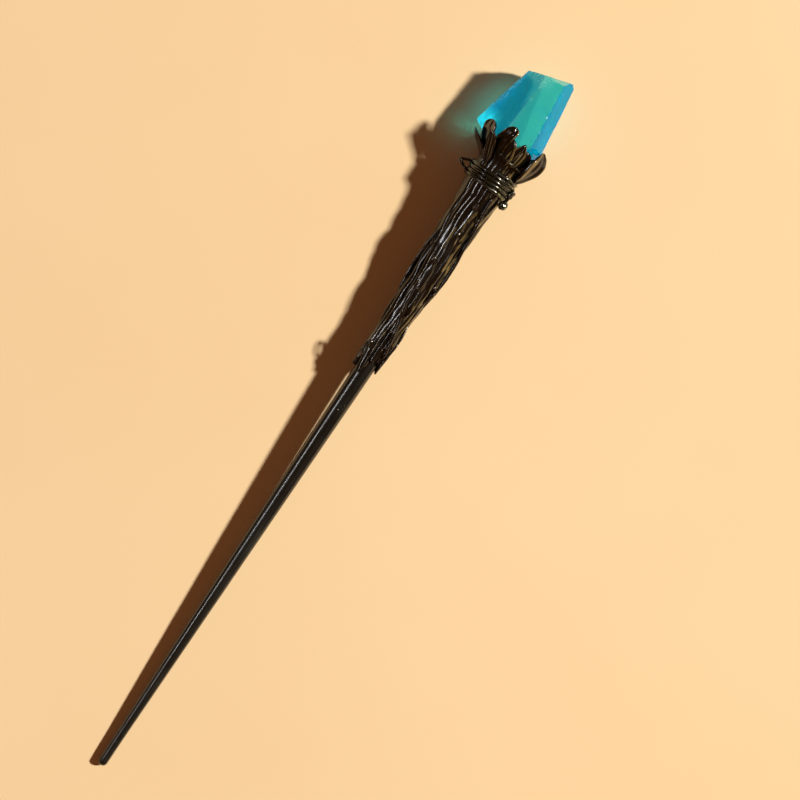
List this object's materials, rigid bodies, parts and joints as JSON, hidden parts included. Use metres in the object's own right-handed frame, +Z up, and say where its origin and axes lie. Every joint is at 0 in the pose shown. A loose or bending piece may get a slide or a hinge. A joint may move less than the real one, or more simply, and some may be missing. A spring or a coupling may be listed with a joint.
{
  "type": "magic wand",
  "caption": "Black tapered magic wand whose root-like strands, tied with cord, end in a claw crown that holds a rough translucent aqua crystal.",
  "frame": {"origin": "on the table, under the middle of the wand's box as it lies", "axes": "+X along the wand from the tip to the crystal, +Z up from the table"},
  "size_m": [0.3499, 0.036, 0.0313],
  "materials": {
    "black_lacquer": "satin-gloss black lacquer on wood",
    "gloss_black_sculpt": "gloss black, with an old gold dry-brushed tint",
    "tinted_cord": "gloss black over cord, with a green-gold tint",
    "aqua_stone": "rough-cut translucent stone with polished and frosted patches",
    "filler": "hidden filler putty"
  },
  "bodies": {
    "root": {"shaft": "black_lacquer", "handle_core": "filler", "crystal_bed": "filler", "crystal": "aqua_stone", "strand_01": "gloss_black_sculpt", "strand_02": "gloss_black_sculpt", "strand_03": "gloss_black_sculpt", "strand_04": "gloss_black_sculpt", "strand_05": "gloss_black_sculpt", "strand_06": "gloss_black_sculpt", "strand_07": "gloss_black_sculpt", "strand_08": "gloss_black_sculpt", "strand_09": "gloss_black_sculpt", "strand_10": "gloss_black_sculpt", "strand_11": "gloss_black_sculpt", "strand_12": "gloss_black_sculpt", "strand_13": "gloss_black_sculpt", "broad_petal": "gloss_black_sculpt", "curled_petal": "gloss_black_sculpt", "back_petal_left": "gloss_black_sculpt", "back_petal_right": "gloss_black_sculpt", "vine_front": "gloss_black_sculpt", "vine_left": "gloss_black_sculpt", "vine_right": "gloss_black_sculpt", "vine_back": "gloss_black_sculpt", "binding_cord": "tinted_cord", "binding_knot": "tinted_cord", "binding_tail": "tinted_cord", "binding_loop": "tinted_cord", "thread": "tinted_cord"}
  },
  "joints": []
}
